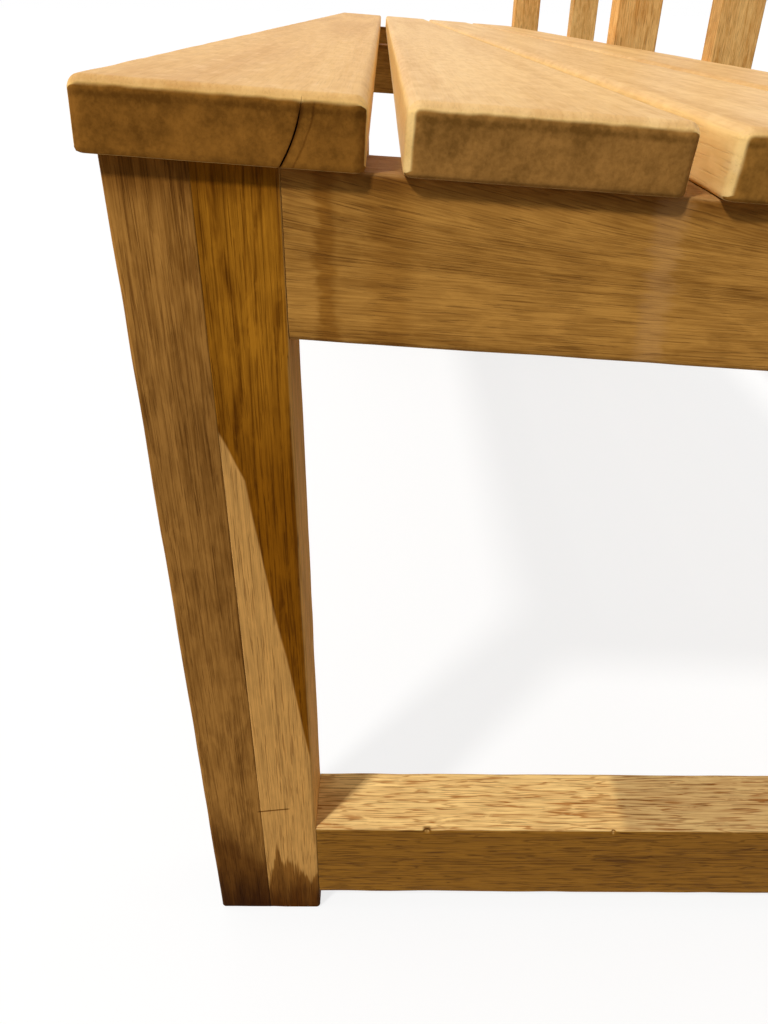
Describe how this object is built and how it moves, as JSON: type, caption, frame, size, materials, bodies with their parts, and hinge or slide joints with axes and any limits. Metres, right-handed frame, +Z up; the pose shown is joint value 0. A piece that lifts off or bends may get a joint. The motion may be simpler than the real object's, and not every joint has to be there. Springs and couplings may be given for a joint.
{
  "type": "coat rack bench",
  "caption": "Long slatted oak bench on three open frames, with paired rear posts that carry a peg board and a slatted hat shelf.",
  "frame": {"origin": "on the floor under the middle of the bench's bounding box", "axes": "+X along the length of the bench, to the right as seen from the front; +Y from the front of the seat to the back; +Z up"},
  "size_m": [2.05, 0.6396, 1.765],
  "materials": {
    "oak_frame": "oiled honey-brown oak, glued-up stock",
    "oak_seat": "pale oiled oak planks with worn, rounded arrises and darker end grain",
    "oak_board": "oiled oak boards with eased arrises",
    "oak_turned": "turned oiled oak",
    "screw_steel": "zinc-plated wood screws"
  },
  "bodies": {
    "root": {"front_leg_left": "oak_frame", "seat_rail_left": "oak_frame", "floor_stretcher_left": "oak_frame", "front_post_left": "oak_frame", "rear_post_left": "oak_frame", "post_tie_low_left": "oak_frame", "post_tie_seat_left": "oak_frame", "shelf_bearer_left": "oak_frame", "front_leg_middle": "oak_frame", "seat_rail_middle": "oak_frame", "floor_stretcher_middle": "oak_frame", "front_post_middle": "oak_frame", "rear_post_middle": "oak_frame", "post_tie_low_middle": "oak_frame", "post_tie_seat_middle": "oak_frame", "shelf_bearer_middle": "oak_frame", "front_leg_right": "oak_frame", "seat_rail_right": "oak_frame", "floor_stretcher_right": "oak_frame", "front_post_right": "oak_frame", "rear_post_right": "oak_frame", "post_tie_low_right": "oak_frame", "post_tie_seat_right": "oak_frame", "shelf_bearer_right": "oak_frame", "rear_rail_left": "oak_frame", "rear_rail_right": "oak_frame", "seat_plank_1": "oak_seat", "seat_plank_2": "oak_seat", "seat_plank_3": "oak_seat", "seat_plank_4": "oak_seat", "peg_board": "oak_board", "coat_peg_01": "oak_turned", "coat_peg_02": "oak_turned", "coat_peg_03": "oak_turned", "coat_peg_04": "oak_turned", "coat_peg_05": "oak_turned", "coat_peg_06": "oak_turned", "coat_peg_07": "oak_turned", "coat_peg_08": "oak_turned", "coat_peg_09": "oak_turned", "coat_peg_10": "oak_turned", "shelf_slat_1": "oak_board", "shelf_slat_2": "oak_board", "shelf_slat_3": "oak_board", "shelf_slat_4": "oak_board", "leg_dowels": "oak_turned", "peg_board_plugs": "oak_turned", "shelf_plugs": "oak_turned", "seat_screws": "screw_steel", "peg_board_screws": "screw_steel", "shelf_screws": "screw_steel"}
  },
  "joints": []
}
